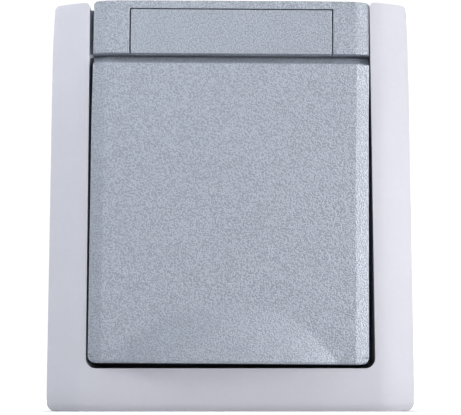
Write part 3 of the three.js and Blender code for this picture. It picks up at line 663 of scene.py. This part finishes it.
def lid_surface(x, z, inset):
    """Front of the lid: block, groove, bevelled sides and finger lip."""
    ax = np.abs(x)
    rise = z - BLOCK_BOTTOM
    depth = np.interp(rise, *zip(*GROOVE_PROFILE), left=0.0, right=0.0)
    outside_seat = np.maximum(ax - SEAT_HALF, z - SEAT_TOP)
    seat_edge = np.where(rise > 0, fillet(outside_seat, 0.06), 0.0)
    in_seat = (outside_seat < 0.0) & (rise > -0.001)
    depth = np.where(in_seat, np.maximum(depth, SEAT_DEPTH + BLOCK_PROUD), depth + seat_edge)
    on_panel = rise < GROOVE_LOWER - BLOCK_BOTTOM + 0.1
    bevel_slope = np.where(on_panel, LID_BEVEL_SLOPE, BLOCK_BEVEL_SLOPE)
    depth = depth + bevel_slope * soft_ramp(ax - (LID_HALF - LID_BEVEL_WIDTH), 0.06)
    chord = np.sqrt(np.maximum(LIP_RADIUS**2 - x * x, 0.0))
    inside_lip = soft_ramp(chord - (z - (LIP_APEX - LIP_RADIUS)), 0.12)
    depth = depth - inside_lip * (LIP_SLOPE - LIP_CROWN * inside_lip)
    depth = depth - np.where(on_panel, PANEL_PROUD, np.where(rise > -0.001, BLOCK_PROUD, 0.0))
    depth = depth + LIP_CHAMFER_SLOPE * soft_ramp(LID_LOW.z + LIP_CHAMFER - z, 0.05)
    depth = depth + fillet(inset, LID_RIM_ROUND)
    at_top = smoothstep((z - SEAT_TOP - 0.1) / (TOP - SEAT_TOP - 0.1))
    turned_x, turned_z = tilted(x, z - at_top * top_drop(x))
    return turned_x, LID_FACE + depth, turned_z


def build_lid():
    """The lid's moulded front, limited at the back to the inside shape of the CAD lid."""
    edge = LID_HALF - LID_RIM
    half_lines = graded((0.0, 21.0, 0.7), (21.0, 21.4, 0.2), (22.0, 24.8, 0.7), (24.8, edge, 0.28))
    half_lines += [SEAT_HALF + offset for offset in SEAT_EDGE_LINES]
    half_lines += [LID_HALF - LID_BEVEL_WIDTH + offset for offset in (-0.2, -0.07, 0.0, 0.07, 0.2)]
    x_lines = sorted(set(half_lines) | {-x for x in half_lines})
    z_lines = graded((LID_LOW.z + LID_RIM, -19.5, 0.42), (-19.5, 29.0, 1.4), (33.0, 41.0, 1.0))
    z_lines += [BLOCK_BOTTOM + height for height, _ in GROOVE_PROFILE]
    z_lines += [GROOVE_LOWER + 0.8, GROOVE_LOWER + 1.4]
    z_lines += [SEAT_TOP + offset for offset in SEAT_EDGE_LINES] + [LID_HIGH.z - LID_RIM]
    z_lines = sorted(set(z_lines))
    insets = [1.2, 0.9, 0.6, 0.54, 0.5, 0.46, 0.35, 0.22, 0.16, 0.11, 0.07, 0.035, 0.01, 0.0]
    shape = moulded_tile("lid_moulding", LID_HALF, LID_LOW.z, LID_HIGH.z, (1.5, 0.8), LID_RIM,
                         x_lines, z_lines, insets, lid_surface, BACK_OF_TILE)
    inner = cad_copy("lid", "lid_cad", (LID_HALF - 1.25, LID_LOW.z + 1.25, LID_HIGH.z - 0.6, 0.5))
    boolean(inner, block("skin", (-40, -62, LID_LOW.z - 1), (40, LID_FACE + 1.7, LID_HIGH.z + 1)), "UNION")
    groove = block("groove", (-40, -62, GROOVE_LOWER - 0.4),
                   (40, LID_FACE + GROOVE_DEPTH + 0.3, BLOCK_BOTTOM + 0.4))
    boolean(inner, groove, "UNION")
    boolean(shape, inner, "INTERSECT")
    smooth(shape)
    return dress(shape, "grey_plastic", LID_BODY, "lid")


def label_surface(x, z, inset):
    turned_x, turned_z = tilted(x, z)
    return turned_x, LABEL_LOW.y - BLOCK_PROUD + fillet(inset, 0.1), turned_z


def build_label():
    """The label plate's rounded front on the clips of the CAD plate."""
    rim = 0.4
    half, low, high = LABEL_HIGH.x, BLOCK_BOTTOM, LABEL_HIGH.z - BLOCK_DROP
    x_lines = graded((rim - half, half - rim, 1.2))
    z_lines = graded((low + rim, high - rim, 1.0))
    plate_back = LABEL_LOW.y + LABEL_THICKNESS
    shape = moulded_tile("label_insert", half, low, high, (0.25, 0.25), rim, x_lines, z_lines,
                         [0.4, 0.2, 0.1, 0.07, 0.04, 0.01, 0.0], label_surface, plate_back)
    clips = cad_copy("label_plate", "label_clips")
    boolean(clips, block("label_front", (-40, -70, -60), (40, plate_back - 0.3, 60)), "DIFFERENCE")
    boolean(shape, clips, "UNION")
    smooth(shape)
    return dress(shape, "grey_plastic", LID_BODY, "label_plate", material=LABEL_PLASTIC)


# ---------- carried-over CAD nodes ----------
SHARP_ANGLE = 30.0  # degrees


def refine(node, bevel):
    """A copy of a CAD node with its sharp edges eased."""
    bm = cad_mesh(node)
    bmesh.ops.dissolve_limit(bm, angle_limit=math.radians(1.0), verts=bm.verts, edges=bm.edges)
    if bevel > 0:
        sharp = math.radians(SHARP_ANGLE)
        edges = [e for e in bm.edges if e.is_manifold and e.calc_face_angle(0.0) > sharp]
        bmesh.ops.bevel(bm, geom=edges, offset=bevel, segments=2, profile=0.5, affect="EDGES",
                        clamp_overlap=True)
    return make_object(f"{node}_finished", bm)


SLOT_OF = {part["node"]: part["material_slot"] for part in frame["record"]["subparts"]}
BODY_OF = {node: body for body, nodes in frame["record"]["behaviour"]["bodies"].items() for node in nodes}
BUILT_ABOVE = {"front_cover", "lid", "label_plate"}
EDGE_EASE = {"back_box": 0.35, "plug_well": 0.12, "contact_carrier": 0.15}
SMALL_PIECE_EASE = 0.08

SPRING_LOW, SPRING_HIGH = box_mm("lid_spring")
LEAF_LOW, LEAF_HIGH = box_mm("shutter_spring")
BLENDS = {  # node: moving body, where the bend starts, where it ends
    "lid_spring": (LID_BODY, Vector((SPRING_LOW.x + 0.7, HINGE.y, HINGE.z)),
                   Vector((SPRING_HIGH.x - 0.7, HINGE.y, HINGE.z))),
    "shutter_spring": (SHUTTER_BODY, Vector((LEAF_LOW.x + 1.5, LEAF_LOW.y, LEAF_LOW.z)),
                       Vector((LEAF_HIGH.x, LEAF_LOW.y, LEAF_HIGH.z))),
}


def finish_nodes():
    """Every other rigid piece, from its CAD node."""
    for node, slot in SLOT_OF.items():
        if node in BUILT_ABOVE or node in BLENDS:
            continue
        shape = refine(node, EDGE_EASE.get(node, SMALL_PIECE_EASE))
        smooth(shape)
        dress(shape, slot, BODY_OF[node], node)


def bend_springs():
    """The two springs as plain copies of their CAD nodes, with smooth shading and their material, in place
    of the hidden nodes.
    """
    for node, (moving, start, end) in BLENDS.items():
        shape = refine(node, 0.0)
        smooth(shape)
        shape.modifiers.clear()
        shape.data.materials.clear()
        shape.data.materials.append(MATERIALS[SLOT_OF[node]])
        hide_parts(node)
        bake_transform(shape)


# ---------- stage ----------
SCRIM_X = 48.0
CONTACT_SHADE_REACH = 0.015  # metres
FLOOR_BOUNCE = 0.62


def build_floor():
    """A pale floor that glows: to the camera it lifts away to white, with a painted contact shadow close to
    the object; on the object it glows as bounce light, weaker close to the object.
    """
    bm = bmesh.new()
    bmesh.ops.create_grid(bm, x_segments=1, y_segments=1, size=1500.0)
    bmesh.ops.translate(bm, vec=Vector((0, 0, BOTTOM)), verts=bm.verts)
    floor = make_object("floor", bm)
    material, nodes, shader, at = new_material("floor_pale")
    cloud = nodes.noise(at, 60.0, 3.0)
    tone = nodes.ramp(cloud, [(0.3, (0.57, 0.57, 0.58, 1)), (0.7, (0.62, 0.62, 0.62, 1))])
    seen = nodes.add("ShaderNodeLightPath").outputs["Is Camera Ray"]
    middle = (0, COVER_FRONT / 2 * MM, 0)
    half = (HALF_WIDTH * MM, -COVER_FRONT / 2 * MM, 1)
    off = nodes.vector("ABSOLUTE", nodes.vector("SUBTRACT", at, middle))
    off = nodes.vector("MAXIMUM", nodes.vector("SUBTRACT", off, half))
    off = nodes.vector("MULTIPLY", off, (4, 1, 1))
    away = nodes.add("ShaderNodeVectorMath", {0: off}, operation="LENGTH").outputs["Value"]
    # painted contact shadow: the glow is lower close to the object
    near = nodes.add("ShaderNodeMapRange", {"Value": away, "From Min": 0.0, "From Max": CONTACT_SHADE_REACH,
                                            "To Min": 0.3, "To Max": 0.97},
                     interpolation_type="SMOOTHSTEP").outputs[0]
    far = nodes.add("ShaderNodeMapRange", {"Value": away, "From Min": 0.02, "From Max": 0.24,
                                           "To Min": 0.0, "To Max": 0.17}).outputs[0]
    glow = nodes.maths("MULTIPLY", seen, nodes.maths("ADD", near, far))
    # the floor glows on the object as bounce light, weaker close to it
    bounce = nodes.maths("MULTIPLY", nodes.maths("SUBTRACT", 1.0, seen), FLOOR_BOUNCE)
    glow = nodes.maths("ADD", glow, nodes.maths("MULTIPLY", bounce, near))
    connect(nodes, shader, Base_Color=tone, Roughness=0.9, Emission_Color=(1, 1, 1, 1),
            Emission_Strength=glow)
    floor.data.materials.append(material)


def build_scrim(side):
    """A net beside the object, unseen, that holds the side lights back from the housing's flanks."""
    bm = bmesh.new()
    bmesh.ops.create_grid(bm, x_segments=1, y_segments=1, size=0.5)
    for v in bm.verts:
        v.co = (side * SCRIM_X,
                COVER_FRONT + 0.5 if v.co.x < 0 else 45.0,
                BOTTOM + 0.2 if v.co.y < 0 else TOP + 70.0)
    scrim = make_object(f"scrim_{'right' if side > 0 else 'left'}", bm)
    material, nodes, _, at = new_material(f"{scrim.name}_net")
    weave = nodes.noise(at, 30.0, 1.0)
    tone = nodes.ramp(weave, [(0.4, (0.15, 0.15, 0.15, 1)), (0.6, (0.18, 0.18, 0.18, 1))])
    net = nodes.add("ShaderNodeBsdfTransparent", {"Color": tone})
    output = material.node_tree.nodes["Material Output"]
    material.node_tree.links.new(net.outputs[0], output.inputs["Surface"])
    scrim.data.materials.append(material)
    scrim.visible_camera = scrim.visible_diffuse = scrim.visible_glossy = scrim.visible_transmission = False


def build_world():
    """White where the camera looks past the floor, and a weak cool fill everywhere else."""
    world = bpy.data.worlds.new("studio")
    bpy.context.scene.world = world
    world.use_nodes = True
    tree = world.node_tree
    nodes = Nodes(tree)
    base = tree.nodes["Background"]
    base.inputs["Color"].default_value = (0.9, 0.94, 1.0, 1)
    base.inputs["Strength"].default_value = 0.08
    seen = nodes.add("ShaderNodeBackground", {"Color": (1, 1, 1, 1), "Strength": 1.05})
    camera_ray = nodes.add("ShaderNodeLightPath").outputs["Is Camera Ray"]
    mix = nodes.add("ShaderNodeMixShader", {0: camera_ray, 1: base.outputs[0], 2: seen.outputs[0]})
    tree.links.new(mix.outputs[0], tree.nodes["World Output"].inputs[0])


def direction(azimuth, elevation):
    """From the object towards a place given in degrees: 0, 0 is the front."""
    a, e = math.radians(azimuth), math.radians(elevation)
    return Vector((math.sin(a) * math.cos(e), -math.cos(a) * math.cos(e), math.sin(e)))


def place(obj, aim, back, distance):
    """Puts a light or camera at a distance (mm) from the aim, looking at it."""
    obj.location = (aim + back * distance) * MM
    obj.rotation_euler = (-back).to_track_quat("-Z", "Y").to_euler()
    bpy.context.scene.collection.objects.link(obj)


def add_light(name, azimuth, elevation, distance, size, power, color):
    """A square area light aimed at the middle of the front."""
    data = bpy.data.lights.new(name, "AREA")
    data.shape = "SQUARE"
    data.size = size * MM
    data.energy = power
    data.color = color
    light = bpy.data.objects.new(name, data)
    place(light, Vector((0, COVER_FRONT, 0)), direction(azimuth, elevation), distance)


LIGHTS = [  # name, azimuth, elevation (degrees), distance, size (mm), power (W), colour
    ("key_right", 81, 3, 300, 150, 1.42, (1.0, 0.985, 0.965)),
    ("soft_right", 62, 8, 320, 200, 0.225, (1.0, 0.99, 0.97)),
    ("soft_left", -60, 46, 200, 130, 0.325, (0.92, 0.96, 1.0)),
    ("top", 0, 60, 500, 320, 0.05, (1, 1, 1)),
    ("back_left", -150, 14, 500, 300, 0.9, (1, 1, 1)),
    ("back_right", 150, 14, 500, 300, 0.9, (1, 1, 1)),
]

CAMERA_ELEVATION = -7.8
CAMERA_DISTANCE = 285.0
CAMERA_LENS = 106.6
CAMERA_AZIMUTH = 0.2
AIM = Vector((0.05, COVER_FRONT, -1.1))


def add_camera():
    data = bpy.data.cameras.new("camera")
    data.lens = CAMERA_LENS
    data.sensor_width = 36.0
    data.clip_start = 0.01
    camera = bpy.data.objects.new("camera", data)
    place(camera, AIM, direction(CAMERA_AZIMUTH, CAMERA_ELEVATION), CAMERA_DISTANCE)
    bpy.context.scene.camera = camera


build_cover()
build_lid()
build_label()
finish_nodes()
bend_springs()
build_floor()
for scrim_side in (-1, 1):
    build_scrim(scrim_side)
build_world()
for light_settings in LIGHTS:
    add_light(*light_settings)
add_camera()
bpy.context.scene.view_settings.view_transform = "Standard"

bpy.context.view_layer.update()
